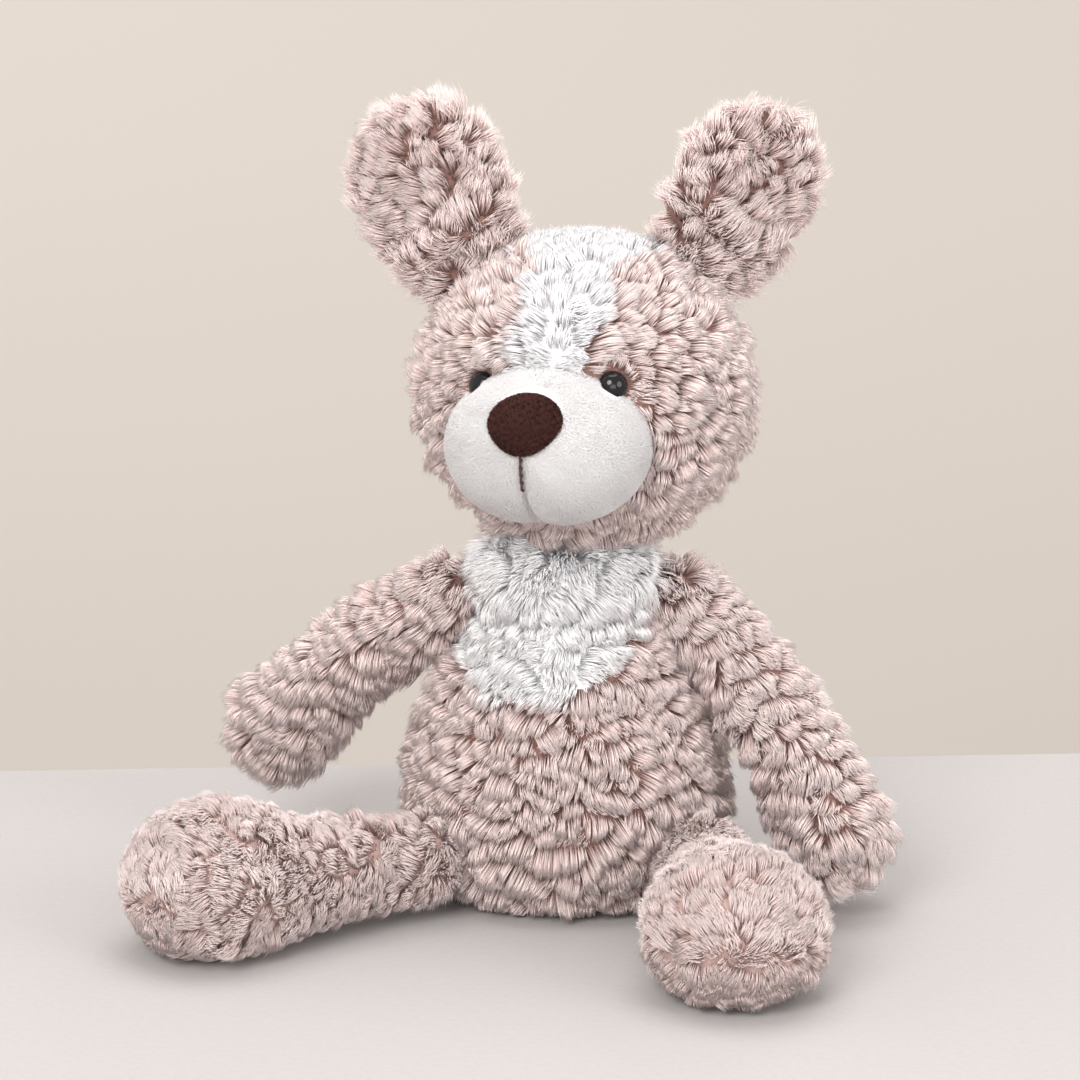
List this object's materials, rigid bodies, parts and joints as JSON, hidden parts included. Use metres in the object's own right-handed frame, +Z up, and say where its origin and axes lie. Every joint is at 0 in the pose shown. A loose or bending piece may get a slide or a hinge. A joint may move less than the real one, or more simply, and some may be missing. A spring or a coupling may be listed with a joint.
{
  "type": "plush dog",
  "caption": "Seated long-pile plush dog with a white face blaze, chest patch and muzzle, soft limbs, ears and a head that turn and lift.",
  "frame": {"origin": "middle of the flat seat panel, on the surface the dog sits on", "axes": "+Z up, the dog faces -Y, its own left side is +X"},
  "size_m": [0.2665, 0.238, 0.2911],
  "materials": {
    "mauve_pile": "long-pile faux fur, dusty mauve-rose, paler at the tips and darker at the roots, brushed into soft shingled tufts",
    "white_pile": "long-pile white faux fur, soft ragged edge",
    "muzzle_pile": "short smooth white plush velour",
    "nose_fabric": "short-pile dark brown velour with a stitched edge",
    "brown_thread": "twisted brown embroidery thread",
    "eye_plastic": "gloss black moulded plastic",
    "washer_plastic": "natural white moulded plastic",
    "wadding": "white polyester fibre fill",
    "bean_cloth": "plain woven inner bag filled with plastic pellets"
  },
  "bodies": {
    "torso": {"chest_patch": "white_pile", "belly_panel_left": "mauve_pile", "belly_panel_right": "mauve_pile", "back_panel_left": "mauve_pile", "back_panel_right": "mauve_pile", "seat_panel": "mauve_pile", "seat_bean_bag": "bean_cloth", "torso_wadding": "wadding"},
    "neck": {"neck_plug": "wadding"},
    "head": {"blaze_panel": "white_pile", "face_panel_left": "mauve_pile", "face_panel_right": "mauve_pile", "head_back_panel_left": "mauve_pile", "head_back_panel_right": "mauve_pile", "head_wadding": "wadding", "muzzle_panel_left": "muzzle_pile", "muzzle_panel_right": "muzzle_pile", "muzzle_wadding": "wadding", "nose_cover": "nose_fabric", "philtrum_stitch": "brown_thread", "eye_left": "eye_plastic", "eye_right": "eye_plastic", "eye_washer_left": "washer_plastic", "eye_washer_right": "washer_plastic"},
    "tail": {"tail_panel_left": "mauve_pile", "tail_panel_right": "mauve_pile", "tail_wadding": "wadding"},
    "ear_left": {"ear_front_left": "mauve_pile", "ear_rear_left": "mauve_pile"},
    "shoulder_left": {"shoulder_plug_left": "wadding"},
    "arm_left": {"arm_front_left": "mauve_pile", "arm_rear_left": "mauve_pile", "arm_wadding_left": "wadding"},
    "hip_left": {"hip_plug_left": "wadding"},
    "leg_left": {"leg_top_left": "mauve_pile", "leg_sole_left": "mauve_pile", "leg_wadding_left": "wadding", "foot_bean_bag_left": "bean_cloth"},
    "ear_right": {"ear_front_right": "mauve_pile", "ear_rear_right": "mauve_pile"},
    "shoulder_right": {"shoulder_plug_right": "wadding"},
    "arm_right": {"arm_front_right": "mauve_pile", "arm_rear_right": "mauve_pile", "arm_wadding_right": "wadding"},
    "hip_right": {"hip_plug_right": "wadding"},
    "leg_right": {"leg_top_right": "mauve_pile", "leg_sole_right": "mauve_pile", "leg_wadding_right": "wadding", "foot_bean_bag_right": "bean_cloth"}
  },
  "joints": [
    {"name": "neck_turn", "type": "hinge", "parent": "torso", "child": "neck", "pos_m": [0, 0, 0.149], "axis": [0, 0, 1], "range_deg": [-28, 52]},
    {"name": "neck_nod", "type": "hinge", "parent": "neck", "child": "head", "pos_m": [0, 0, 0.149], "axis": [0.9763, -0.2164, 0], "range_deg": [-18, 18]},
    {"name": "ear_left_flop", "type": "hinge", "parent": "head", "child": "ear_left", "pos_m": [0.045, 0.004, 0.231], "axis": [0.7571, 0.4402, -0.4828], "range_deg": [-40, 40], "stiffness_Nm_per_rad": 0.03},
    {"name": "ear_right_flop", "type": "hinge", "parent": "head", "child": "ear_right", "pos_m": [-0.032, 0.004, 0.2312], "axis": [0.8051, -0.0813, 0.5876], "range_deg": [-40, 40], "stiffness_Nm_per_rad": 0.03},
    {"name": "shoulder_left_raise", "type": "hinge", "parent": "torso", "child": "shoulder_left", "pos_m": [0.0442, 0.002, 0.11], "axis": [0, -1, 0], "range_deg": [0, 60]},
    {"name": "shoulder_left_swing", "type": "hinge", "parent": "shoulder_left", "child": "arm_left", "pos_m": [0.0442, 0.002, 0.11], "axis": [1, 0, 0], "range_deg": [-75, 35]},
    {"name": "shoulder_right_raise", "type": "hinge", "parent": "torso", "child": "shoulder_right", "pos_m": [-0.0442, 0.002, 0.11], "axis": [0, 1, 0], "range_deg": [-12, 45]},
    {"name": "shoulder_right_swing", "type": "hinge", "parent": "shoulder_right", "child": "arm_right", "pos_m": [-0.0442, 0.002, 0.11], "axis": [1, 0, 0], "range_deg": [-75, 35]},
    {"name": "hip_left_splay", "type": "hinge", "parent": "torso", "child": "hip_left", "pos_m": [0.0533, -0.0424, 0.022], "axis": [0, 0, 1], "range_deg": [-6, 50]},
    {"name": "hip_left_lift", "type": "hinge", "parent": "hip_left", "child": "leg_left", "pos_m": [0.0533, -0.0424, 0.022], "axis": [-0.987, -0.1606, 0], "range_deg": [0, 35]},
    {"name": "hip_right_splay", "type": "hinge", "parent": "torso", "child": "hip_right", "pos_m": [-0.0533, -0.0424, 0.022], "axis": [0, 0, -1], "range_deg": [-45, 8]},
    {"name": "hip_right_lift", "type": "hinge", "parent": "hip_right", "child": "leg_right", "pos_m": [-0.0533, -0.0424, 0.022], "axis": [-0.5262, 0.8504, 0], "range_deg": [0, 35]},
    {"name": "tail_wag", "type": "hinge", "parent": "torso", "child": "tail", "pos_m": [0, 0.059, 0.026], "axis": [0, 0, 1], "range_deg": [-30, 30], "stiffness_Nm_per_rad": 0.01}
  ]
}
